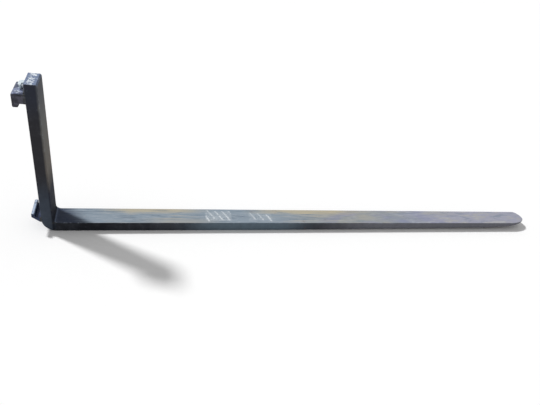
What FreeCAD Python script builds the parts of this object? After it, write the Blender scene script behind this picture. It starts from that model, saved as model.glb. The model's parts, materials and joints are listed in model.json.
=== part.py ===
import FreeCAD, Part
import math
import os

# A hook-on fork arm for a lift truck: a forged L with two hooks welded to its back
# and a spring-loaded positioning lock in the upper hook.
# Millimetres. X runs along the blade to the tip, Y across the blade, Z up the shank.
# The origin lies in the underside plane, below the shank's front face, at mid-width.

Vector = FreeCAD.Vector

# Forged blank
blade_length = 2438.4
fork_width = 101.6
shank_thick = 44.5
blade_thick = 44.5
heel_outer_radius = 56.0
heel_inner_radius = 20.0
taper_start_x = 1000.0
nose_length = 320.0
nose_start_thick = 32.8
tip_thick = 7.0
tip_round_near = 105.0
tip_round_far = 34.0
edge_radius = 2.5
shank_crown = 5.0
shank_above_hook = 38.0

# Upper hook: it hangs on the top bar of the carriage
upper_seat_z = 584.0
upper_hook_top_z = 622.0
upper_projection = 44.0
upper_channel_width = 23.0
upper_lip_depth = 13.5
upper_lip_chamfer_x = 4.0
upper_lip_chamfer_z = 6.0
hook_corner = 3.0
hook_edge = 1.2

# Lower hook: it reaches behind the bottom bar of the carriage
lower_floor_z = 73.0
lower_hook_base_z = 50.0
lower_projection = 36.0
lower_channel_width = 23.0
lower_lip_height = 18.0
lower_lip_nose = 17.0
lower_flat_length = 7.0

# Weld between hooks and shank
side_groove = 6.0
side_crown = 0.8
top_bead_leg = 7.0
bottom_bead_leg = 7.0
bead_end_gap = 3.0
lock_bead_gap = 26.0

# Positioning lock
pin_radius = 8.0
pin_reach = 9.0
pin_nose = 2.5
pin_step_height = 8.0
pin_flange_radius = 9.4
pin_flange_height = 4.0
stem_radius = 6.0
tang_thick = 8.0
lock_lift = 10.0
bore_radius = 10.0
bush_height = 9.0
guide_clearance = 0.06
seat_clearance = 0.3
spring_wire_radius = 0.9
spring_turns = 4.5
spring_mean_radius = 7.6
cross_pin_radius = 2.5
cross_pin_wall = 0.8
cross_pin_slot = 1.0
cross_pin_overhang = 1.0
cam_base = 9.0
cam_gap = 0.3
cam_flat = 5.0
cheek_thick = 5.0
cheek_clearance = 0.3
hub_radius = 8.5
handle_thick = 5.0
handle_width = 25.0
handle_offset = 9.0
handle_end_gap = 4.0
handle_curl = 20.0
handle_curl_length = 12.0
slot_run_out = 8.0

half_width = fork_width / 2
shank_height = upper_hook_top_z + shank_above_hook
back_x = -shank_thick
pin_x = back_x - upper_channel_width / 2
step_z = upper_seat_z + pin_step_height
pivot_z = upper_hook_top_z + cam_base + cam_gap
pin_tip_z = upper_seat_z - pin_reach
lift_rate = lock_lift / (math.pi / 2)


def point(x, z, y=0.0):
    return Vector(x, y, z)


def box_between(low, high):
    size = high - low
    return Part.makeBox(size.x, size.y, size.z, low)


def cylinder_up(radius, bottom, top, x=pin_x, y=0.0):
    return Part.makeCylinder(radius, top - bottom, Vector(x, y, bottom))


def tube_across(radius, half_length, z):
    return Part.makeCylinder(radius, 2 * half_length, Vector(pin_x - half_length, 0, z), Vector(1, 0, 0))


def corner_arc(centre_x, centre_z, radius, start, end):
    """Arc in the side plane, angles in degrees from +X towards +Z."""
    points = []
    for angle in (start, (start + end) / 2, end):
        turn = math.radians(angle)
        points.append(point(centre_x + radius * math.cos(turn), centre_z + radius * math.sin(turn)))
    return Part.Arc(*points).toShape()


def line(start, end):
    return Part.LineSegment(start, end).toShape()


def across_width(edges, low_y=-half_width, high_y=half_width):
    """Face from a closed run of edges in the side plane, drawn out across the width."""
    wire = Part.Wire(edges)
    wire.translate(Vector(0, low_y, 0))
    return Part.Face(wire).extrude(Vector(0, high_y - low_y, 0))


def outline_edges(corners):
    closed = corners + corners[:1]
    return [line(first, second) for first, second in zip(closed, closed[1:])]


def broken_side_edges(hook):
    """Hook with its side outlines chamfered, apart from where it meets the shank."""
    rims = []
    for edge in hook.Edges:
        box = edge.BoundBox
        on_side = box.YLength < 0.01 and abs(abs(box.YMin) - half_width) < 0.01
        if on_side and box.XMin < back_x - 0.01:
            rims.append(edge)
    return hook.makeChamfer(hook_edge, rims)


# Blank: the side profile of the L, cut to the plan of the blade with its rounded tip
def nose_arc(start, end):
    """Underside of the nose: an arc that leaves the straight taper smoothly and ends at the tip."""
    chord = end - start
    taper_slope = math.atan2(start.z, start.x - taper_start_x)
    turn = math.atan2(chord.z, chord.x) - taper_slope
    depth = chord.Length / 2 * math.tan(turn / 2)
    below = Vector(chord.z, 0, -chord.x) / chord.Length
    middle = (start + end) / 2 + below * depth
    return Part.Arc(start, middle, end).toShape()


def side_profile():
    outer = corner_arc(back_x + heel_outer_radius, heel_outer_radius, heel_outer_radius, 180, 270)
    inner = corner_arc(heel_inner_radius, blade_thick + heel_inner_radius, heel_inner_radius, 270, 180)
    taper_start = point(taper_start_x, 0)
    nose_start = point(blade_length - nose_length, blade_thick - nose_start_thick)
    tip_low = point(blade_length, blade_thick - tip_thick)
    tip_high = point(blade_length, blade_thick)
    crown_front = point(0, shank_height - shank_crown)
    crown_top = point(-shank_crown, shank_height)
    return [
        line(point(back_x, shank_height), point(back_x, heel_outer_radius)),
        outer,
        line(point(back_x + heel_outer_radius, 0), taper_start),
        line(taper_start, nose_start),
        nose_arc(nose_start, tip_low),
        line(tip_low, tip_high),
        line(tip_high, point(heel_inner_radius, blade_thick)),
        inner,
        line(point(0, blade_thick + heel_inner_radius), crown_front),
        line(crown_front, crown_top),
        line(crown_top, point(back_x, shank_height)),
    ]


def tip_quarter(side, length):
    """Quarter of an ellipse in plan, between the middle of the tip and the blade's straight side."""
    centre = Vector(blade_length - length, 0, 0)
    middle = Vector(blade_length, 0, 0)
    shoulder = Vector(blade_length - length, side * half_width, 0)
    if length > half_width:
        ellipse = Part.Ellipse(middle, shoulder, centre)
    else:
        ellipse = Part.Ellipse(shoulder, middle, centre)
    return Part.ArcOfEllipse(ellipse, 0, math.pi / 2).toShape()


def plan_outline():
    near = Vector(blade_length - tip_round_near, -half_width, 0)
    far = Vector(blade_length - tip_round_far, half_width, 0)
    back_near = Vector(back_x - 1, -half_width, 0)
    back_far = Vector(back_x - 1, half_width, 0)
    return Part.Face(Part.Wire([
        tip_quarter(-1, tip_round_near),
        tip_quarter(1, tip_round_far),
        line(far, back_far),
        line(back_far, back_near),
        line(back_near, near),
    ]))


def fork_blank():
    side = across_width(side_profile())
    plan = plan_outline().extrude(Vector(0, 0, shank_height))
    blank = side.common(plan).removeSplitter().Solids[0]
    round_start_x = blade_length - max(tip_round_near, tip_round_far)
    rims = []
    for edge in blank.Edges:
        box = edge.BoundBox
        on_side = box.YLength < 0.01 and abs(abs(box.YMin) - half_width) < 0.01
        at_tip = box.XMin > round_start_x - 0.01
        upright = abs(edge.tangentAt(edge.FirstParameter).z) > 0.999
        if at_tip and not upright or on_side and not at_tip:
            rims.append(edge)
    return blank.makeFillet(edge_radius, rims)


# Upper hook, bored through for the lock and grooved at both sides for the weld
def side_groove_prism(side, low_z, high_z):
    corners = [
        Vector(back_x, side * half_width, low_z),
        Vector(back_x - side_groove, side * half_width, low_z),
        Vector(back_x, side * (half_width - side_groove), low_z),
    ]
    wire = Part.makePolygon(corners + corners[:1])
    return Part.Face(wire).extrude(Vector(0, 0, high_z - low_z))


def upper_hook():
    lip_inner_x = back_x - upper_channel_width
    outer_x = back_x - upper_projection
    lip_z = upper_seat_z - upper_lip_depth
    corners = [
        point(back_x, upper_hook_top_z),
        point(back_x, upper_seat_z),
        point(lip_inner_x, upper_seat_z),
        point(lip_inner_x, lip_z + upper_lip_chamfer_z),
        point(lip_inner_x - upper_lip_chamfer_x, lip_z),
        point(outer_x + hook_corner, lip_z),
        point(outer_x, lip_z + hook_corner),
        point(outer_x, upper_hook_top_z - hook_corner),
        point(outer_x + hook_corner, upper_hook_top_z),
    ]
    hook = broken_side_edges(across_width(outline_edges(corners)))
    hook = hook.cut(cylinder_up(pin_radius + guide_clearance, upper_seat_z - 1, step_z + 1))
    hook = hook.cut(cylinder_up(bore_radius, step_z, upper_hook_top_z + 1))
    for side in (-1, 1):
        hook = hook.cut(side_groove_prism(side, upper_seat_z - 1, upper_hook_top_z + 1))
    return hook


def lower_hook():
    lip_inner_x = back_x - lower_channel_width
    outer_x = back_x - lower_projection
    lip_z = lower_floor_z + lower_lip_height
    corners = [
        point(back_x, lower_floor_z),
        point(back_x, lower_hook_base_z),
        point(back_x - lower_flat_length, lower_hook_base_z),
        point(outer_x, lip_z - lower_lip_nose),
        point(outer_x, lip_z - hook_corner),
        point(outer_x + hook_corner, lip_z),
        point(lip_inner_x - hook_corner, lip_z),
        point(lip_inner_x, lip_z - hook_corner),
        point(lip_inner_x, lower_floor_z),
    ]
    hook = broken_side_edges(across_width(outline_edges(corners)))
    for side in (-1, 1):
        hook = hook.cut(side_groove_prism(side, lower_hook_base_z - 1, lower_floor_z + 1))
    return hook


# Weld metal: a crowned filling in each side groove and fillets above or below the hook
def groove_bead(side, low_z, high_z, blank):
    face_y = side * half_width
    start = Vector(back_x + edge_radius, face_y, low_z)
    crown = Vector(back_x + (edge_radius - side_groove) / 2, face_y + side * side_crown, low_z)
    end = Vector(back_x - side_groove, face_y, low_z)
    root = Vector(back_x, side * (half_width - side_groove), low_z)
    wire = Part.Wire([Part.Arc(start, crown, end).toShape(), line(end, root), line(root, start)])
    return Part.Face(wire).extrude(Vector(0, 0, high_z - low_z)).cut(blank)


def fillet_bead(corner_z, direction, leg, low_y, high_y):
    foot = point(back_x, corner_z)
    on_shank = point(back_x, corner_z + direction * leg)
    on_hook = point(back_x - leg, corner_z)
    bulge = point(back_x - leg * 0.58, corner_z + direction * leg * 0.58)
    edges = [line(foot, on_shank), Part.Arc(on_shank, bulge, on_hook).toShape(), line(on_hook, foot)]
    return across_width(edges, low_y, high_y)


def upper_hook_weld(blank):
    beads = [groove_bead(side, upper_seat_z, upper_hook_top_z, blank) for side in (-1, 1)]
    outer_y = half_width - bead_end_gap
    for side in (-1, 1):
        low_y, high_y = sorted((side * outer_y, side * lock_bead_gap))
        beads.append(fillet_bead(upper_hook_top_z, 1, top_bead_leg, low_y, high_y))
    return Part.makeCompound(beads)


def lower_hook_weld(blank):
    beads = [groove_bead(side, lower_hook_base_z, lower_floor_z, blank) for side in (-1, 1)]
    outer_y = half_width - bead_end_gap
    foot_x = back_x / 2
    low_z = lower_hook_base_z - bottom_bead_leg
    corners = [
        point(back_x - bottom_bead_leg, lower_hook_base_z),
        point(foot_x, lower_hook_base_z),
        point(foot_x, low_z),
        point(back_x, low_z),
    ]
    beads.append(across_width(outline_edges(corners), -outer_y, outer_y).cut(blank))
    return Part.makeCompound(beads)


# Positioning lock: a stepped pin, its spring and bush, and the lever that lifts it
def lock_bush():
    low_z = upper_hook_top_z - bush_height
    bush = cylinder_up(bore_radius, low_z, upper_hook_top_z)
    hole = cylinder_up(stem_radius + guide_clearance, low_z - 1, upper_hook_top_z + 1)
    return bush.cut(hole)


def lock_pin():
    flange_low = step_z + seat_clearance
    flange_high = flange_low + pin_flange_height
    half_tang = tang_thick / 2
    nose = Part.makeCone(pin_radius - pin_nose, pin_radius, pin_nose, Vector(pin_x, 0, pin_tip_z))
    body = cylinder_up(pin_radius, pin_tip_z + pin_nose, flange_high)
    flange = cylinder_up(pin_flange_radius, flange_low, flange_high)
    stem = cylinder_up(stem_radius, flange_high, pivot_z)
    head = tube_across(stem_radius, stem_radius, pivot_z)
    pin = nose.multiFuse([body, flange, stem, head]).removeSplitter()
    flat_low = upper_hook_top_z - lock_lift - 1
    for side in (-1, 1):
        low_x, high_x = sorted((pin_x + side * half_tang, pin_x + side * (stem_radius + 1)))
        low = Vector(low_x, -stem_radius - 1, flat_low)
        high = Vector(high_x, stem_radius + 1, pivot_z + stem_radius + 1)
        pin = pin.cut(box_between(low, high))
    return pin.cut(tube_across(cross_pin_radius, stem_radius + 1, pivot_z))


def wire_section(turn, height):
    """Eight-sided section of the spring wire after that many turns of the coil."""
    angle = 2 * math.pi * turn
    outward = Vector(math.cos(angle), math.sin(angle), 0)
    centre = Vector(pin_x, 0, height) + outward * spring_mean_radius
    sides = 8
    corners = []
    for side in range(sides):
        around = 2 * math.pi * (side + 0.5) / sides
        rise = Vector(0, 0, spring_wire_radius * math.sin(around))
        corners.append(centre + outward * (spring_wire_radius * math.cos(around)) + rise)
    return Part.makePolygon(corners + corners[:1])


def lock_spring():
    flange_top = step_z + seat_clearance + pin_flange_height
    low_z = flange_top + seat_clearance + spring_wire_radius
    high_z = upper_hook_top_z - bush_height - seat_clearance - spring_wire_radius
    steps_per_turn = 16
    steps = round(spring_turns * steps_per_turn)
    sections = []
    for step in range(steps + 1):
        share = step / steps
        sections.append(wire_section(spring_turns * share, low_z + (high_z - low_z) * share))
    return Part.makeLoft(sections, True, True)


def cross_pin():
    half_length = tang_thick / 2 + cheek_clearance + cheek_thick + cross_pin_overhang
    wall = tube_across(cross_pin_radius, half_length, pivot_z)
    wall = wall.cut(tube_across(cross_pin_radius - cross_pin_wall, half_length + 1, pivot_z))
    low = Vector(pin_x - half_length - 1, -cross_pin_slot / 2, pivot_z)
    high = Vector(pin_x + half_length + 1, cross_pin_slot / 2, pivot_z + cross_pin_radius + 1)
    return wall.cut(box_between(low, high))


def cam_point(turn):
    """Point of the cam's flank that bears down when the lever has turned that far."""
    reach = cam_base + lift_rate * turn
    y = -reach * math.sin(turn) - lift_rate * math.cos(turn)
    z = -reach * math.cos(turn) + lift_rate * math.sin(turn)
    return Vector(0, y, pivot_z + z)


def cheek_face(x):
    """Cam cheek: flat foot, a flank that lifts in step with the turn, end flat, round hub."""
    steps = 12
    flank_points = [cam_point(math.pi / 2 * step / steps) for step in range(steps + 1)]
    flank = Part.BSplineCurve()
    flank.interpolate(flank_points)
    toe = flank_points[-1]
    toe_top = Vector(0, toe.y, toe.z + cam_flat)
    hub_back = Vector(0, -hub_radius * 0.5, pivot_z + hub_radius * math.sqrt(0.75))
    hub_top = Vector(0, 0, pivot_z + hub_radius)
    arm_top = Vector(0, slot_run_out, pivot_z + hub_radius - 1)
    arm_foot = Vector(0, slot_run_out, pivot_z - cam_base)
    edges = [
        flank.toShape(),
        line(toe, toe_top),
        line(toe_top, hub_back),
        Part.Arc(hub_back, hub_round_middle(), hub_top).toShape(),
        line(hub_top, arm_top),
        line(arm_top, arm_foot),
        line(arm_foot, flank_points[0]),
    ]
    wire = Part.Wire(edges)
    wire.translate(Vector(x, 0, 0))
    return Part.Face(wire)


def hub_round_middle():
    turn = math.radians(105)
    return Vector(0, hub_radius * math.cos(turn), pivot_z + hub_radius * math.sin(turn))


def lever_cheeks():
    inner = tang_thick / 2 + cheek_clearance
    near = cheek_face(pin_x - inner - cheek_thick).extrude(Vector(cheek_thick, 0, 0))
    far = cheek_face(pin_x + inner).extrude(Vector(cheek_thick, 0, 0))
    return near, far


def handle_side(low_x, high_x):
    """Handle in side view: level plate with a curled finger end."""
    low_z = pivot_z - cam_base
    high_z = low_z + handle_thick
    end_y = half_width - handle_end_gap
    bend_y = end_y - handle_curl_length
    rise = handle_curl_length * math.tan(math.radians(handle_curl))
    corners = [
        Vector(low_x, slot_run_out, low_z),
        Vector(low_x, bend_y, low_z),
        Vector(low_x, end_y, low_z + rise),
        Vector(low_x, end_y, high_z + rise),
        Vector(low_x, bend_y, high_z),
        Vector(low_x, slot_run_out + hub_radius, high_z),
        Vector(low_x, slot_run_out, pivot_z + hub_radius - 1),
    ]
    wire = Part.makePolygon(corners + corners[:1])
    return Part.Face(wire).extrude(Vector(high_x - low_x, 0, 0))


def handle_plan():
    """Handle in plan: a neck as wide as the cheeks, widening to an offset, rounded grip."""
    neck = tang_thick / 2 + cheek_clearance + cheek_thick
    grip_x = pin_x - handle_offset
    half_grip = handle_width / 2
    end_y = half_width - handle_end_gap
    shoulder_y = slot_run_out + 14
    straight_y = end_y - half_grip
    low_z = pivot_z - cam_base - 1
    left = Vector(grip_x - half_grip, straight_y, low_z)
    right = Vector(grip_x + half_grip, straight_y, low_z)
    edges = [
        line(Vector(pin_x + neck, slot_run_out, low_z), Vector(pin_x - neck, slot_run_out, low_z)),
        line(Vector(pin_x - neck, slot_run_out, low_z), Vector(grip_x - half_grip, shoulder_y, low_z)),
        line(Vector(grip_x - half_grip, shoulder_y, low_z), left),
        Part.Arc(left, Vector(grip_x, end_y, low_z), right).toShape(),
        line(right, Vector(grip_x + half_grip, shoulder_y, low_z)),
        line(Vector(grip_x + half_grip, shoulder_y, low_z), Vector(pin_x + neck, slot_run_out, low_z)),
    ]
    return Part.Face(Part.Wire(edges))


def lock_lever():
    near, far = lever_cheeks()
    grip = handle_side(pin_x - fork_width, pin_x + fork_width)
    grip = grip.common(handle_plan().extrude(Vector(0, 0, pivot_z)))
    lever = near.multiFuse([far, grip]).removeSplitter()
    reach = tang_thick / 2 + cheek_clearance + cheek_thick + 1
    return lever.cut(tube_across(cross_pin_radius + guide_clearance, reach, pivot_z))


def build():
    blank = fork_blank()
    return {
        "fork_blank": blank,
        "upper_hook": upper_hook(),
        "lower_hook": lower_hook(),
        "upper_hook_weld": upper_hook_weld(blank),
        "lower_hook_weld": lower_hook_weld(blank),
        "lock_bush": lock_bush(),
        "lock_pin": lock_pin(),
        "lock_spring": lock_spring(),
        "cross_pin": cross_pin(),
        "lock_lever": lock_lever(),
    }


os.makedirs("parts", exist_ok=True)
for name, shape in build().items():
    shape.exportStep("parts/" + name + ".step")
    print(name, len(shape.Solids), shape.isValid(), round(shape.Volume / 1000, 2), "cm3")
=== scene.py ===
import bmesh
import bpy
import json
import math
from mathutils import Matrix, Vector


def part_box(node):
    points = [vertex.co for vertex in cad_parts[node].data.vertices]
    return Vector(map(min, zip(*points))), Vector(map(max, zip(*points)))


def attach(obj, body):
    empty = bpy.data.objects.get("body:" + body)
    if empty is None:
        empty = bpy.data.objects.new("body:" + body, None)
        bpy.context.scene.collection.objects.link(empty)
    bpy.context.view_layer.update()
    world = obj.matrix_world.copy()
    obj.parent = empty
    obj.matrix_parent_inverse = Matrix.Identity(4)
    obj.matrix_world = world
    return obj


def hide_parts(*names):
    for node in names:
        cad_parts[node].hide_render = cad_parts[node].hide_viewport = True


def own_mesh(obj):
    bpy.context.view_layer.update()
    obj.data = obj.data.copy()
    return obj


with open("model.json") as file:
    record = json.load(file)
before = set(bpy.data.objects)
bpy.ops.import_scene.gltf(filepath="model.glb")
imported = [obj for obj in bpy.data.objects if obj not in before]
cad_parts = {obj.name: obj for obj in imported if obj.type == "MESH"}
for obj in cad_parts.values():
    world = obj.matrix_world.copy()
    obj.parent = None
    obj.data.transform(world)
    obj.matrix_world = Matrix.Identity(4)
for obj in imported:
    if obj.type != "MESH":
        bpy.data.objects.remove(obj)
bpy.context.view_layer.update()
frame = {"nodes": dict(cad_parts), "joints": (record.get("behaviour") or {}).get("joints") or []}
nodes = frame["nodes"]
print("frame loaded:", len(nodes), "nodes")


# Linear colour out of a named sRGB one such as "8B98A4"
def rgba(code):
    shares = [int(code[start:start + 2], 16) / 255 for start in (0, 2, 4)]
    linear = [share / 12.92 if share <= 0.04045 else ((share + 0.055) / 1.055) ** 2.4 for share in shares]
    return (*linear, 1.0)


# A socket that can be used in sums: each sign adds a Math node to the material
class Wire:
    def __init__(self, shop, socket):
        self.shop = shop
        self.socket = socket

    def calculate(self, operation, first, second=0.0):
        made = self.shop.add("ShaderNodeMath", {"operation": operation}, {0: first, 1: second})
        return Wire(self.shop, made.outputs[0])

    def __add__(self, other):
        return self.calculate("ADD", self, other)

    def __radd__(self, other):
        return self.calculate("ADD", other, self)

    def __sub__(self, other):
        return self.calculate("SUBTRACT", self, other)

    def __rsub__(self, other):
        return self.calculate("SUBTRACT", other, self)

    def __mul__(self, other):
        return self.calculate("MULTIPLY", self, other)

    def __truediv__(self, other):
        return self.calculate("DIVIDE", self, other)

    def __neg__(self):
        return self.calculate("MULTIPLY", self, -1.0)

    def lowest(self, other):
        return self.calculate("MINIMUM", self, other)

    def highest(self, other):
        return self.calculate("MAXIMUM", self, other)

    def size(self):
        return self.highest(-self)

    def fraction(self):
        return self.calculate("FRACT", self)

    def floored(self):
        return self.calculate("FLOOR", self)


# A material under way, with the few nodes that every finish here is made of
class Finish:
    def __init__(self, name):
        self.material = bpy.data.materials.new(name)
        self.material.use_nodes = True
        self.tree = self.material.node_tree
        self.tree.nodes.clear()
        coords = self.add("ShaderNodeTexCoord")
        self.place = Wire(self, coords.outputs["Object"])
        self.facing = Wire(self, coords.outputs["Normal"])
        self.x, self.y, self.z = self.parts(self.place)
        self.nx, self.ny, self.nz = self.parts(self.facing)

    def add(self, kind, settings=None, sockets=None):
        made = self.tree.nodes.new(kind)
        for key, value in (settings or {}).items():
            if key == "stops":
                self.setStops(made.color_ramp, value)
            else:
                setattr(made, key, value)
        for key, value in (sockets or {}).items():
            if isinstance(value, Wire):
                self.tree.links.new(value.socket, made.inputs[key])
            else:
                made.inputs[key].default_value = value
        return made

    def setStops(self, ramp, stops):
        while len(ramp.elements) < len(stops):
            ramp.elements.new(0.5)
        for element, (position, colour) in zip(ramp.elements, stops):
            element.position = position
            element.color = rgba(colour)

    def parts(self, vector):
        made = self.add("ShaderNodeSeparateXYZ", None, {0: vector})
        return [Wire(self, socket) for socket in made.outputs]

    def fade(self, value, start, end):
        made = self.add("ShaderNodeMapRange", {"interpolation_type": "SMOOTHSTEP"},
                        {"Value": value, "From Min": start, "From Max": end})
        return Wire(self, made.outputs["Result"])

    def within(self, value, start, end, soft):
        return self.fade(value, start - soft, start + soft) * (1 - self.fade(value, end - soft, end + soft))

    # Two places give a rise, a third number makes it a stretch with that much softness at its ends
    def spread(self, value, places):
        return self.within(value, *places) if len(places) == 3 else self.fade(value, *places)

    def stretched(self, scale):
        made = self.add("ShaderNodeMapping", None, {"Vector": self.place, "Scale": scale})
        return Wire(self, made.outputs[0])

    def noise(self, scale, detail=4.0, rough=0.55, warp=0.0, at=None):
        made = self.add("ShaderNodeTexNoise", None,
                        {"Vector": at or self.place, "Scale": scale, "Detail": detail,
                         "Roughness": rough, "Distortion": warp})
        return Wire(self, made.outputs["Fac"])

    def chance(self, number):
        made = self.add("ShaderNodeTexWhiteNoise", {"noise_dimensions": "1D"}, {"W": number})
        return Wire(self, made.outputs["Value"])

    def blend(self, first, second, mask):
        made = self.add("ShaderNodeMix", {"data_type": "RGBA"}, {0: mask, 6: first, 7: second})
        return Wire(self, made.outputs[2])

    def over(self, under, code, mask):
        return self.blend(under, rgba(code), mask)

    def ramp(self, value, stops):
        made = self.add("ShaderNodeValToRGB", {"stops": stops}, {0: value})
        return Wire(self, made.outputs[0])

    def bump(self, height, look):
        made = self.add("ShaderNodeBump", None, {
            "Height": height, "Distance": look["bumpDepth"], "Strength": look["bumpStrength"],
        })
        return Wire(self, made.outputs[0])

    def finish(self, sockets):
        shader = self.add("ShaderNodeBsdfPrincipled", None, sockets)
        self.add("ShaderNodeOutputMaterial", None, {0: Wire(self, shader.outputs[0])})
        return self.material


# Sizes read from the frame, in metres
bladeLow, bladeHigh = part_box("fork_blank")
halfWidth = bladeHigh[1]
shankBack = bladeLow[0]
shankTop = bladeHigh[2]
tipX = bladeHigh[0]


# Masks and noises that all faces of the blank share. A noise is (scale, detail, roughness, warp)
fieldLook = {
    "topFacing": (0.55, 0.85), "frontFacing": (0.6, 0.9), "bladeStart": (0.002, 0.012),
    "patches": (3.2, 5.0, 0.6, 0.6), "mottle": (38.0, 6.0, 0.6), "grain": (420.0, 4.0, 0.6),
    "streaks": (5.0, 6.0, 0.6, 0.4), "fineStreaks": (14.0, 5.0, 0.65, 0.2),
    "streakStretch": (1.6, 26.0, 26.0),
    "scratches": (30.0, 4.0, 0.6, 0.3), "scratchStretch": (0.5, 40.0, 40.0),
}


class BlankFinish(Finish):
    def __init__(self, name, look):
        super().__init__(name)
        streaky = self.stretched(look["streakStretch"])
        self.onTop = self.fade(self.nz, *look["topFacing"])
        self.onFront = self.fade(self.nx, *look["frontFacing"])
        self.onBlade = self.fade(self.x, *look["bladeStart"])
        self.along = self.x / tipX
        self.across = self.y / halfWidth
        self.patches = self.noise(*look["patches"])
        self.mottle = self.noise(*look["mottle"])
        self.grain = self.noise(*look["grain"])
        self.streaks = self.noise(*look["streaks"], at=streaky)
        self.fineStreaks = self.noise(*look["fineStreaks"], at=streaky)
        self.scratches = self.noise(*look["scratches"], at=self.stretched(look["scratchStretch"]))


# Side faces: nearly black paint with scuffs; along the blade the side is painted lighter, bluish and then
# grey towards its tip, as painted light, and left dark near the heel as painted shade.
# A layer is (colour, where it lies, strength), in shares of the blade's length or heights in metres
sideLook = {
    "dark": "212329", "scuff": "3A3D44", "scuffShows": (0.75, 1.1), "leastCover": 0.6, "coverVaries": 0.5,
    "bladeLightAndShadeLayers": [("647481", (0.24, 0.45, 0.05), 1.0), ("75767F", (0.44, 0.62), 1.0)],
    "shankLayers": [
        ("38373B", (0.15, 0.30), 0.65), ("4A5463", (0.30, 0.12), 0.7), ("2D3240", (0.50, 0.62), 0.8),
    ],
    "fleck": "8F96A0", "fleckNoise": (190.0, 6.0, 0.72), "fleckShows": (0.84, 0.92), "fleckStrength": 0.22,
}


def sideToneAndShading(mat, look):
    scuffs = mat.fade(mat.patches + mat.mottle * 0.5 + mat.fineStreaks * 0.3, *look["scuffShows"])
    side = mat.blend(rgba(look["dark"]), rgba(look["scuff"]), scuffs)
    cover = look["leastCover"] + mat.mottle * look["coverVaries"]
    # Painted light along the blade's side, leaving painted shade near the heel
    for colour, places, strength in look["bladeLightAndShadeLayers"]:
        side = mat.over(side, colour, mat.spread(mat.along, places) * cover * strength)
    onShank = (1 - mat.onBlade) * cover
    for colour, places, strength in look["shankLayers"]:
        side = mat.over(side, colour, mat.spread(mat.z, places) * onShank * strength)
    flecks = mat.fade(mat.noise(*look["fleckNoise"]) + mat.mottle * 0.4, *look["fleckShows"])
    return mat.over(side, look["fleck"], flecks * look["fleckStrength"])


# Front of the shank: lighter and warmer below the middle, partly its paint and partly painted bounce light,
# and dark towards the heel as painted shade, by shares of its height.
# Its lighter tone laps a few millimetres round the rounded corner onto the side, as painted shading of that
# corner
frontLook = {
    # The two darkest stops, at the bottom, are painted shade near the heel
    "stops": [(0.12, "1B1F28"), (0.285, "1A1E2B"), (0.45, "6B655F"), (0.74, "646463"), (0.94, "515358")],
    "wander": 0.12, "dust": "BDB194", "dustShows": (0.78, 1.0), "dustStrength": 0.12,
    "shadingLap": (-0.0095, -0.0005), "shadingLapWander": 0.004,
}


def frontToneAndShading(mat, look):
    front = mat.ramp(mat.z / shankTop + (mat.patches - 0.5) * look["wander"], look["stops"])
    dust = mat.fade(mat.mottle + mat.patches * 0.5, *look["dustShows"])
    return mat.over(front, look["dust"], dust * look["dustStrength"])


def frontAndShadingLap(mat, look):
    # Painted shading: the front's tone is carried round the rounded corner onto the side
    shadingLapped = mat.fade(mat.x + (mat.mottle - 0.5) * look["shadingLapWander"], *look["shadingLap"])
    return mat.onFront.highest(shadingLapped * (1 - mat.onBlade))


# A rise that is over before the blade starts, for a layer that lies all along it
wholeBlade = (-1.0, -0.5)

# Top of the blade: steel blue, greyer in the middle, lilac at the tip, with a navy painted shadow of the
# shank at the heel. A layer is (colour, field, values of the field that show it, where it lies along the
# blade, strength)
bladeTopLook = {
    "stops": [(0.42, "8B98A4"), (0.52, "989A99"), (0.60, "989A99"), (0.68, "8A909D"), (0.78, "9A9BAA")],
    "wander": 0.12,
    "clouds": (6.5, 3.0, 0.5, 0.4), "cloudStretch": (1.0, 3.0, 3.0),
    "smears": (11.0, 4.0, 0.6, 0.5), "smearStretch": (1.0, 3.5, 3.5),
    "deep": "6C7A88", "pale": "B9BEC6", "violet": "8789A8", "warmGrey": "A5A39B",
    "layers": [
        ("deep", "streaks", (0.50, 0.36), (0.85, 0.40), 0.85),
        ("pale", "fineStreaks", (0.52, 0.70), wholeBlade, 0.7),
        ("violet", "clouds", (0.50, 0.62), (0.50, 0.80, 0.06), 0.4),
        ("warmGrey", "clouds", (0.47, 0.37), (0.50, 0.80, 0.06), 0.5),
        ("warmGrey", "smears", (0.50, 0.60), (0.72, 0.80), 0.55),
        ("pale", "smears", (0.56, 0.68), (0.62, 0.70), 0.35),
        ("deep", "smears", (0.46, 0.34), (0.62, 0.70), 0.45),
        ("warmGrey", "across", (-0.1, -0.8), (0.16, 0.27, 0.04), 0.55),
    ],
    "dust": "BDB194", "dusty": [(0.09, 0.25, 0.04), (0.38, 0.57, 0.05)], "farEdge": (0.05, 0.9),
    "dustShows": (0.60, 0.86), "dustStrength": 0.72,
    # Painted shadow: navy laid over the blade's top next to the shank, fading out along the blade
    "heel": "1E2642", "heelShadowEnd": (0.17, 0.07), "heelShadowStrength": 0.85,
}


# Dust on the blade's top, most of it along the far edge
def bladeDust(mat, look, wander):
    places = [mat.within(mat.along + wander * 0.5, *stretch) for stretch in look["dusty"]]
    streaky = mat.streaks + mat.fade(mat.across, *look["farEdge"]) * 0.30 + mat.fineStreaks * 0.15
    return mat.fade(streaky, *look["dustShows"]) * (places[0] + places[1])


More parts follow.
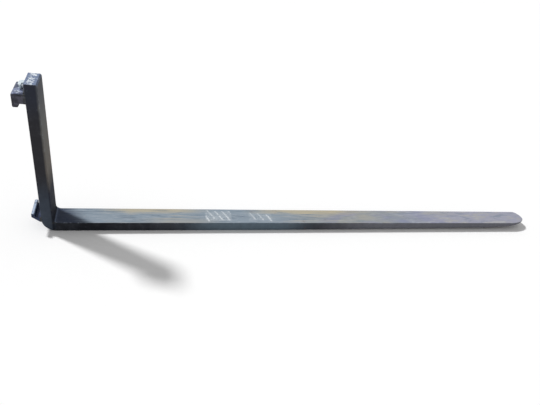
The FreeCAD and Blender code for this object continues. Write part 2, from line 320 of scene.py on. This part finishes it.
def bladeTopPaintAndShadow(mat, look):
    wander = (mat.patches - 0.5) * look["wander"]
    fields = {
        "streaks": mat.streaks, "fineStreaks": mat.fineStreaks, "across": mat.across,
        "clouds": mat.noise(*look["clouds"], at=mat.stretched(look["cloudStretch"])),
        "smears": mat.noise(*look["smears"], at=mat.stretched(look["smearStretch"])),
    }
    top = mat.ramp(mat.along + wander, look["stops"])
    for colour, field, shows, places, strength in look["layers"]:
        mask = mat.fade(fields[field], *shows) * mat.spread(mat.along, places)
        top = mat.over(top, look[colour], mask * strength)
    dust = bladeDust(mat, look, wander)
    top = mat.over(top, look["dust"], dust * look["dustStrength"])
    # Painted shadow of the shank, slanting across the blade near the heel
    heelShadowEnd = mat.fade(mat.x + mat.across * 0.04 + mat.streaks * 0.06, *look["heelShadowEnd"])
    return mat.over(top, look["heel"], heelShadowEnd * look["heelShadowStrength"]), dust


# Top of the shank: near-white dents in a band stand for hammered dings and painted glints, with dark pits
shankTopLook = {
    "paint": "75839F", "dentGlint": "E6EEF5", "pit": "3A435A",
    "band": (-0.037, -0.011, 0.007), "bandBy": 0.20, "clumps": (40.0, 2.0, 0.5), "clumpsBy": 0.35,
    "dentGlints": (120.0, 6.0, 0.68, 0.2), "dentGlintShows": (0.76, 0.92),
    "pits": (170.0, 5.0, 0.65), "pitShows": (0.46, 0.34), "pitStrength": 0.7,
}


def shankTopPaintAndGlints(mat, look):
    clumps = (mat.noise(*look["clumps"]) - 0.5) * look["clumpsBy"]
    beatenGlintBand = mat.within(mat.x, *look["band"]) * look["bandBy"] + clumps
    # Near-white dents: hammered dings and painted glints
    dentGlints = mat.fade(mat.noise(*look["dentGlints"]) + mat.mottle * 0.3 + beatenGlintBand, *look["dentGlintShows"])
    top = mat.blend(rgba(look["paint"]), rgba(look["dentGlint"]), dentGlints)
    pits = mat.fade(mat.noise(*look["pits"]), *look["pitShows"])
    return mat.over(top, look["pit"], pits * look["pitStrength"])


# Chalk on the blade: two rubbed patches of slanting strokes, in metres
chalkLook = {
    "colour": "EEF2F4",
    "patches": [
        {"start": 0.645, "end": 0.765, "low": -0.034, "high": 0.030, "pitch": 0.0330, "strength": 0.95},
        {"start": 0.850, "end": 0.960, "low": -0.030, "high": 0.020, "pitch": 0.0370, "strength": 0.75},
    ],
    "lean": 0.45, "bow": 2.2, "halfStroke": 0.0052, "strokeSoft": 0.004, "faintest": 0.55, "uneven": 0.024,
    "grit": (240.0, 4.0, 0.7), "gritShows": (0.36, 0.62), "bareGrit": 0.1,
    "ragged": (60.0, 3.0, 0.6), "raggedBy": 0.012, "endSoft": 0.005, "smudge": 0.26, "smudgeSoft": 0.012,
}


def chalkMarks(mat, look):
    grit = mat.fade(mat.noise(*look["grit"]), *look["gritShows"])
    ragged = (mat.noise(*look["ragged"]) - 0.5) * look["raggedBy"]
    leaning = mat.x + mat.y * look["lean"] + mat.y * mat.y * look["bow"] + ragged * 0.3
    total = None
    for patch in look["patches"]:
        lane = leaning / patch["pitch"]
        fromLine = (lane.fraction() - 0.5).size() * patch["pitch"]
        strokes = 1 - mat.fade(fromLine, look["halfStroke"] * 0.3, look["halfStroke"] * 1.3)
        chance = mat.chance(lane.floored())
        shifted = mat.y + ragged + (chance - 0.5) * look["uneven"]
        strokes = strokes * mat.within(shifted, patch["low"], patch["high"], look["strokeSoft"])
        strokes = strokes * (look["faintest"] + chance * (1 - look["faintest"]))
        haze = mat.within(mat.y + ragged * 2, patch["low"], patch["high"], look["smudgeSoft"])
        inside = mat.within(mat.x + ragged, patch["start"], patch["end"], look["endSoft"])
        chalked = strokes * (grit * 0.8 + look["bareGrit"]) + grit * haze * look["smudge"]
        marks = inside * chalked * patch["strength"]
        total = total.highest(marks) if total else marks
    return total.lowest(1.0) * mat.onTop * mat.onBlade


# Wear of the whole blank: rust in low spots and most of it below, bare metal on rubbed edges, scratches
wearLook = {
    "rust": "6E4A30", "lowSpots": (24.0, 8.0, 0.72, 0.8), "belowFacing": (-0.4, -0.9),
    "rustShows": (0.60, 0.70), "rustPatches": (0.46, 0.62), "rustStrength": 0.5,
    "bare": "8F96A0", "roundedFacing": (0.18, 0.42), "chips": (110.0, 5.0, 0.7), "bareShows": (0.62, 0.78),
    "bareStrength": 0.7, "shieldedHeight": (0.30, 0.15), "shieldedBy": 0.5,
    "scratch": "B9BEC6", "scratchShows": (0.66, 0.72), "scratchStrength": 0.35,
    "gloss": 0.54, "shine": 0.08, "bumpDepth": 0.0006, "bumpStrength": 0.6,
}


def rustMask(mat, look):
    below = mat.fade(mat.nz, *look["belowFacing"])
    spots = mat.fade(mat.noise(*look["lowSpots"]) + below * 0.08, *look["rustShows"])
    return spots * mat.fade(mat.patches + below * 0.2, *look["rustPatches"])


def bareMask(mat, look):
    upright = mat.nz.size().highest(mat.nx.size())
    rounded = mat.fade(mat.ny.size().lowest(upright), *look["roundedFacing"])
    broken = mat.noise(*look["chips"]) * 0.6 + mat.mottle * 0.5 + mat.fineStreaks * 0.2
    return rounded * mat.fade(broken, *look["bareShows"])


def blankPaintAndShading(look):
    mat = BlankFinish("wornForgedPaintAndShading", fieldLook)
    side = mat.blend(sideToneAndShading(mat, sideLook), frontToneAndShading(mat, frontLook), frontAndShadingLap(mat, frontLook))
    bladeTopAndShadow, dust = bladeTopPaintAndShadow(mat, bladeTopLook)
    top = mat.blend(shankTopPaintAndGlints(mat, shankTopLook), bladeTopAndShadow, mat.onBlade)
    colour = mat.blend(side, top, mat.onTop)
    colour = mat.over(colour, look["rust"], rustMask(mat, look) * look["rustStrength"])
    worn = bareMask(mat, look)
    shielded = (1 - mat.onBlade) * mat.fade(mat.z, *look["shieldedHeight"])
    colour = mat.over(colour, look["bare"], worn * (look["bareStrength"] - shielded * look["shieldedBy"]))
    scratched = mat.fade(mat.scratches, *look["scratchShows"]) * look["scratchStrength"] * mat.onTop
    colour = mat.over(colour, look["scratch"], scratched)
    chalk = chalkMarks(mat, chalkLook)
    colour = mat.over(colour, chalkLook["colour"], chalk)
    height = mat.mottle * 0.45 + mat.grain * 0.2 + mat.streaks * 0.15 + mat.scratches * 0.2
    gloss = look["gloss"] + (mat.mottle - 0.5) * 0.25 + dust * 0.2 + chalk * 0.3 - worn * 0.15
    return mat.finish({"Base Color": colour, "Roughness": gloss + mat.onFront * 0.2,
                       "Metallic": worn * 0.6 + scratched, "Normal": mat.bump(height, look),
                       "Specular IOR Level": look["shine"]})


# Paint of the hooks: scuffed on the sides; on top, near-white patches stand for rubbed metal and painted
# highlights
hookLook = {
    "dark": "2A2A32", "scuff": "545360", "scuffShows": (0.60, 0.92),
    "chip": "7B818E", "chipShows": (0.83, 0.91), "chipStrength": 0.4,
    "topFacing": (0.5, 0.85), "topDepth": 0.004, "topSoft": 0.003,
    "topLilac": "8189A6", "topPaleHighlight": "D3DCE8", "paleHighlightShows": (0.60, 0.72),
    "topDark": "323850", "darkShows": (0.52, 0.41), "darkStrength": 0.85,
    "rust": "5E4433", "rustNoise": (34.0, 8.0, 0.7, 0.8), "rustShows": (0.58, 0.68), "rustStrength": 0.4,
    "bare": "9EA6B4", "edgeFacing": (0.3, 0.5), "aboveFacing": (-0.35, -0.15), "bareShows": (0.58, 0.72),
    "bareStrength": 0.65,
    "mottle": (55.0, 6.0, 0.62), "coarse": (14.0, 5.0, 0.6, 0.5), "fine": (160.0, 6.0, 0.7, 0.2),
    "grain": (500.0, 3.0, 0.6),
    "gloss": 0.54, "shine": 0.2, "bumpDepth": 0.0006, "bumpStrength": 0.7,
}

# The lower hook is bluer on its sides as painted shade, and paler on top
lowerHookShadedLook = {**hookLook, "dark": "1C2644", "scuff": "364464", "topLilac": "AABAD2", "rust": "44404A"}


# Rubbed metal on edges between two faces, but not on slanting undersides
def hookEdges(mat, look):
    upright = mat.nx.size().highest(mat.nz.size())
    edges = mat.ny.size().lowest(upright).highest(mat.nx.size().lowest(mat.nz.size()))
    return mat.fade(edges, *look["edgeFacing"]) * mat.fade(mat.nz, *look["aboveFacing"])


def hookPaintAndHighlights(name, look, topHeight):
    mat = Finish(name)
    mottle, coarse, fine, grain = (mat.noise(*look[key]) for key in ("mottle", "coarse", "fine", "grain"))
    scuffs = mat.fade(mottle + coarse * 0.5, *look["scuffShows"])
    side = mat.blend(rgba(look["dark"]), rgba(look["scuff"]), scuffs)
    chips = mat.fade(fine + mottle * 0.45, *look["chipShows"])
    side = mat.over(side, look["chip"], chips * look["chipStrength"])
    # Near-white patches on top: rubbed metal and painted highlights
    pale = mat.fade(fine * 0.7 + mottle * 0.5, *look["paleHighlightShows"])
    top = mat.blend(rgba(look["topLilac"]), rgba(look["topPaleHighlight"]), pale)
    dark = mat.fade(coarse + (fine - 0.5) * 0.5, *look["darkShows"])
    top = mat.over(top, look["topDark"], dark * look["darkStrength"])
    low = topHeight - look["topDepth"]
    onTop = mat.fade(mat.nz, *look["topFacing"]) * mat.fade(mat.z, low, low + look["topSoft"])
    colour = mat.blend(side, top, onTop)
    rust = mat.fade(mat.noise(*look["rustNoise"]), *look["rustShows"]) * look["rustStrength"]
    colour = mat.over(colour, look["rust"], rust * (1 - onTop * 0.6))
    worn = hookEdges(mat, look) * mat.fade(fine * 0.5 + mottle * 0.5 + coarse * 0.2, *look["bareShows"])
    colour = mat.over(colour, look["bare"], worn * look["bareStrength"])
    height = mottle * 0.5 + fine * 0.2 + grain * 0.3
    gloss = look["gloss"] - worn * 0.14 + (mottle - 0.5) * 0.25
    return mat.finish({"Base Color": colour, "Roughness": gloss, "Metallic": worn * 0.5,
                       "Normal": mat.bump(height, look), "Specular IOR Level": look["shine"]})


# Paint on the weld beads
weldLook = {
    "dark": "191B21", "scuff": "454953", "blotches": (70.0, 5.0, 0.6), "scuffShows": (0.42, 0.66),
    "rust": "5E4433", "rustNoise": (45.0, 7.0, 0.7, 0.6), "rustShows": (0.58, 0.68), "rustStrength": 0.6,
    "grain": (600.0, 3.0, 0.6),
    "gloss": 0.42, "shine": 0.45, "bumpDepth": 0.0004, "bumpStrength": 0.6,
}


def weldPaint(look):
    mat = Finish("paintedWeld")
    blotch = mat.noise(*look["blotches"])
    colour = mat.blend(rgba(look["dark"]), rgba(look["scuff"]), mat.fade(blotch, *look["scuffShows"]))
    rust = mat.fade(mat.noise(*look["rustNoise"]), *look["rustShows"])
    colour = mat.over(colour, look["rust"], rust * look["rustStrength"])
    height = blotch * 0.5 + mat.noise(*look["grain"]) * 0.5
    return mat.finish({"Base Color": colour, "Roughness": look["gloss"] + blotch * 0.3,
                       "Normal": mat.bump(height, look), "Specular IOR Level": look["shine"]})


# Plated, ground and oiled steel of the lock, and what the three share
steelLook = {
    "plated": {"base": "E6F1F6", "deep": "BFCDD6", "grime": "4A4842", "metal": 0.2, "gloss": 0.38},
    "ground": {"base": "C4C8CE", "deep": "A4A9B0", "grime": "3A3733", "metal": 0.85, "gloss": 0.28},
    "oiled": {"base": "3C3F44", "deep": "2A2C30", "grime": "1E1B18", "metal": 0.7, "gloss": 0.40},
    "shared": {
        "clouds": (90.0, 4.0, 0.55, 0.4), "deepShows": (0.4, 0.62), "deepStrength": 0.7,
        "scratches": (220.0, 4.0, 0.65, 0.2), "scratchStretch": (6.0, 0.6, 6.0),
        "grimeNoise": (60.0, 7.0, 0.7, 0.8), "grimeShows": (0.56, 0.72), "grimeStrength": 0.45,
        "bumpDepth": 0.0002, "bumpStrength": 0.5,
    },
}


def steel(name, kind):
    mat = Finish(name)
    look = {**steelLook["shared"], **steelLook[kind]}
    cloud = mat.noise(*look["clouds"])
    scratches = mat.noise(*look["scratches"], at=mat.stretched(look["scratchStretch"]))
    grime = mat.fade(mat.noise(*look["grimeNoise"]), *look["grimeShows"])
    deep = mat.fade(cloud, *look["deepShows"]) * look["deepStrength"]
    colour = mat.blend(rgba(look["base"]), rgba(look["deep"]), deep)
    colour = mat.over(colour, look["grime"], grime * look["grimeStrength"])
    gloss = look["gloss"] + (scratches - 0.5) * 0.3 + grime * 0.25
    return mat.finish({"Base Color": colour, "Roughness": gloss, "Metallic": look["metal"] - grime * 0.4,
                       "Normal": mat.bump(scratches * 0.6 + cloud * 0.4, look)})


# Closes a shell's ends and makes a piece of it, on its body and in place of its node
def settle(shell, name, body, replaced):
    bmesh.ops.holes_fill(shell, edges=[edge for edge in shell.edges if edge.is_boundary], sides=0)
    bmesh.ops.recalc_face_normals(shell, faces=shell.faces)
    for face in shell.faces:
        face.smooth = True
    mesh = bpy.data.meshes.new(name)
    shell.to_mesh(mesh)
    shell.free()
    piece = bpy.data.objects.new(name, mesh)
    bpy.context.scene.collection.objects.link(piece)
    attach(piece, body)
    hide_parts(replaced)
    return piece


# Weld beads with their ripples, in metres: they stand for the plain beads of the frame
beadLook = {
    "grooveWidth": 0.006, "grooveOverlap": 0.0025, "crown": 0.00078, "leg": 0.0068, "hollow": 0.18,
    "ripplePitch": 0.0026, "rippleBow": 0.45, "rippleDepth": 0.5, "filletRipple": 0.12, "stepsPerRipple": 6,
    "acrossSteps": 12, "crownSteps": 10, "seam": 0.001, "weldedWithin": 0.00001,
    "endRun": 0.003, "endHeight": 0.35, "endGap": 0.0032, "buried": 0.001,
    "lockGap": 0.026, "heelBack": 0.0015,
    "upperLow": 0.584, "upperTop": 0.622, "lowerLow": 0.050, "lowerTop": 0.073,
}


# Ripples from 0 to 1: crescents that bow back from the middle of the bead
def ripple(look, along, across):
    phase = along / look["ripplePitch"] + look["rippleBow"] * across * across
    return abs(math.cos(math.pi * phase))


def endTaper(look, along, length):
    return min(1.0, min(along, length - along) / look["endRun"] + look["endHeight"])


# A bead is a grid bent to its section, which gives a point from (around 0 to 1, along)
def addBead(shell, look, length, section):
    steps = round(length / look["ripplePitch"] * look["stepsPerRipple"])
    grid = bmesh.ops.create_grid(shell, x_segments=look["acrossSteps"], y_segments=steps, size=0.5)
    for vert in grid["verts"]:
        vert.co = section(vert.co.x + 0.5, (vert.co.y + 0.5) * length)


def grooveSection(look, side, low, length):
    crownPart, seam = look["crownSteps"] / look["acrossSteps"], look["seam"]
    start = shankBack + look["grooveOverlap"]
    width = look["grooveWidth"] + look["grooveOverlap"]

    def section(around, along):
        if crownPart + seam < around < 1 - seam:
            return Vector((shankBack, side * (halfWidth - look["grooveWidth"]), low + along))
        across = 2 * around / crownPart - 1 if around < 1 - seam else -1
        lift = 1 - look["rippleDepth"] * (1 - ripple(look, along, across))
        lift *= (1 - across * across) * endTaper(look, along, length)
        back = start - width * (across + 1) / 2
        return Vector((back, side * (halfWidth + look["crown"] * lift), low + along))

    return section


def filletSection(look, corner, direction, low, length):
    crownPart, seam = look["crownSteps"] / look["acrossSteps"], look["seam"]

    def section(around, along):
        if crownPart + seam < around < 1 - seam:
            buried = look["buried"]
            return Vector((corner[0] + buried, low + along, corner[1] - direction * buried))
        share = around / crownPart if around < 1 - seam else 0
        turn = share * math.pi / 2
        swell = math.sin(2 * turn)
        reach = look["leg"] * (1 - look["hollow"] * swell) * endTaper(look, along, length)
        reach *= 1 - look["filletRipple"] * swell * (1 - ripple(look, along, 2 * share - 1))
        rise = direction * reach * math.cos(turn)
        return Vector((corner[0] - reach * math.sin(turn), low + along, corner[1] + rise))

    return section


def makeBeads(name, replaced, look, sections):
    shell = bmesh.new()
    for length, section in sections:
        addBead(shell, look, length, section)
    bmesh.ops.remove_doubles(shell, verts=shell.verts, dist=look["weldedWithin"])
    return settle(shell, name, "arm", replaced)


def grooveBeads(look, low, high):
    return [(high - low, grooveSection(look, side, low, high - low)) for side in (-1, 1)]


def upperBeads(look):
    low, top = look["upperLow"], look["upperTop"]
    outer = halfWidth - look["endGap"]
    length = outer - look["lockGap"]
    corner = (shankBack, top)
    near = filletSection(look, corner, 1, -outer, length)
    far = filletSection(look, corner, 1, look["lockGap"], length)
    return grooveBeads(look, low, top) + [(length, near), (length, far)]


def lowerBeads(look):
    low, top = look["lowerLow"], look["lowerTop"]
    outer = halfWidth - look["endGap"]
    corner = (shankBack + look["heelBack"], low)
    under = filletSection(look, corner, -1, -outer, 2 * outer)
    return grooveBeads(look, low, top) + [(2 * outer, under)]


beadPieces = [
    makeBeads("upperHookBeads", "upper_hook_weld", beadLook, upperBeads(beadLook)),
    makeBeads("lowerHookBeads", "lower_hook_weld", beadLook, lowerBeads(beadLook)),
]
for piece in beadPieces:
    piece.data.materials.append(weldPaint(weldLook))
print("weld beads laid")


# Round coil of the lock's spring, in metres: it rides on the pin
springLook = {"wire": 0.00083, "wireSides": 12, "turns": 4.5, "turnSteps": 32}


def makeSpring(look):
    low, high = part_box("lock_spring")
    middle = (low + high) / 2
    wire, steps = look["wire"], round(look["turns"] * look["turnSteps"])
    start = Matrix.Translation((high[0] - wire, middle[1], low[2] + wire))
    upright = Matrix.Rotation(math.pi / 2, 4, "X")
    rise = Vector((0, 0, (high[2] - low[2] - 2 * wire) / steps))
    shell = bmesh.new()
    bmesh.ops.create_circle(shell, segments=look["wireSides"], radius=wire, matrix=start @ upright)
    bmesh.ops.spin(shell, geom=shell.verts[:] + shell.edges[:], cent=(middle[0], middle[1], 0),
                   axis=(0, 0, 1), dvec=rise, angle=2 * math.pi * look["turns"], steps=steps)
    coil = settle(shell, "lockCoil", "pin", "lock_spring")
    lift = next(joint for joint in frame["joints"] if joint["name"] == "pin_lift")["range_m"][1]
    1 - lift / (high[2] - low[2])
    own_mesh(coil)
    return coil


lockCoil = makeSpring(springLook)
print("spring wound")


# Edges of hooks and lever are eased a little, in metres and degrees
edgeLook = {
    "widths": {"upper_hook": 0.0006, "lower_hook": 0.0006, "lock_lever": 0.0005},
    "segments": 2, "sharperThan": 35,
}


def easeEdges(look):
    for name, width in look["widths"].items():
        ease = nodes[name].modifiers.new("easedEdges", "BEVEL")
        ease.width = width
        ease.segments = look["segments"]
        ease.limit_method = "ANGLE"
        ease.angle_limit = math.radians(look["sharperThan"])


easeEdges(edgeLook)


def coat(names, material):
    for name in names:
        for slot in nodes[name].material_slots:
            slot.material = material


coat(["fork_blank"], blankPaintAndShading(wearLook))
coat(["upper_hook"], hookPaintAndHighlights("upperHookPaintAndHighlights", hookLook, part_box("upper_hook")[1][2]))
coat(["lower_hook"], hookPaintAndHighlights("lowerHookPaintShadeAndHighlights", lowerHookShadedLook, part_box("lower_hook")[1][2]))
coat(["upper_hook_weld", "lower_hook_weld"], beadPieces[0].active_material)
coat(["lock_lever"], steel("zincPlate", "plated"))
coat(["lock_pin"], steel("groundSteel", "ground"))
coat(["lock_bush", "lock_spring", "cross_pin"], steel("oiledSteel", "oiled"))
lockCoil.data.materials.append(nodes["lock_spring"].active_material)
print("finishes made")


# Camera where the picture was taken from
cameraLook = {
    "place": (0.3322, -1.7147, 1.4320), "azimuth": -19.535, "elevation": 35.639, "roll": 12.418,
    "focalPixels": 475.1, "frameWidth": 540.0, "sensor": 36.0,
}


def makeCamera(look):
    azimuth, elevation, roll = (math.radians(look[key]) for key in ("azimuth", "elevation", "roll"))
    forward = Vector((-math.sin(azimuth) * math.cos(elevation), math.cos(azimuth) * math.cos(elevation),
                      -math.sin(elevation)))
    level = forward.cross(Vector((0, 0, 1))).normalized()
    upright = level.cross(forward)
    right = math.cos(roll) * level + math.sin(roll) * upright
    up = -math.sin(roll) * level + math.cos(roll) * upright
    data = bpy.data.cameras.new("viewCamera")
    data.sensor_width = look["sensor"]
    data.lens = look["focalPixels"] / look["frameWidth"] * look["sensor"]
    camera = bpy.data.objects.new("viewCamera", data)
    bpy.context.scene.collection.objects.link(camera)
    turn = Matrix((right, up, -forward)).transposed().to_4x4()
    camera.matrix_world = Matrix.Translation(look["place"]) @ turn
    bpy.context.scene.camera = camera


makeCamera(cameraLook)
print("camera set")


# Floor, sky and sun
studioLook = {
    "floorSize": 40.0, "floorColour": "EEEEEC", "floorSeen": "FFFFFF", "floorGloss": 0.9, "floorShine": 0.1,
    "skyColour": "FFFFFF", "skyStrength": 0.4,
    "keyAim": (0.62, -0.42, -0.8), "keyStrength": 2.62, "keySoft": 0.11,
}


def makeFloor(look):
    bpy.ops.mesh.primitive_plane_add(size=look["floorSize"], location=(0, 0, 0))
    floor = bpy.context.object
    floor.name = "studioFloor"
    mat = Finish("paleFloor")
    rays = mat.add("ShaderNodeLightPath").outputs
    seen = Wire(mat, rays["Is Camera Ray"]).highest(Wire(mat, rays["Is Glossy Ray"]))
    colour = mat.blend(rgba(look["floorColour"]), rgba(look["floorSeen"]), seen)
    paint = mat.finish({"Base Color": colour, "Roughness": look["floorGloss"],
                        "Specular IOR Level": look["floorShine"]})
    floor.data.materials.append(paint)


def makeSky(look):
    world = bpy.data.worlds.new("studioSky")
    world.use_nodes = True
    bpy.context.scene.world = world
    tree = world.node_tree
    back = tree.nodes["Background"]
    back.inputs["Color"].default_value = rgba(look["skyColour"])
    rays = tree.nodes.new("ShaderNodeLightPath").outputs
    seen = tree.nodes.new("ShaderNodeMath")
    seen.operation = "MAXIMUM"
    tree.links.new(rays["Is Camera Ray"], seen.inputs[0])
    tree.links.new(rays["Is Glossy Ray"], seen.inputs[1])
    strength = tree.nodes.new("ShaderNodeMapRange")
    strength.inputs["To Min"].default_value = look["skyStrength"]
    tree.links.new(seen.outputs[0], strength.inputs["Value"])
    tree.links.new(strength.outputs["Result"], back.inputs["Strength"])


def makeKey(look):
    data = bpy.data.lights.new("keySun", "SUN")
    data.energy = look["keyStrength"]
    data.angle = look["keySoft"]
    key = bpy.data.objects.new("keySun", data)
    key.rotation_mode = "QUATERNION"
    key.rotation_quaternion = Vector(look["keyAim"]).to_track_quat("-Z", "Y")
    bpy.context.scene.collection.objects.link(key)


makeFloor(studioLook)
makeSky(studioLook)
makeKey(studioLook)
bpy.context.scene.view_settings.view_transform = "Standard"
print("studio set")
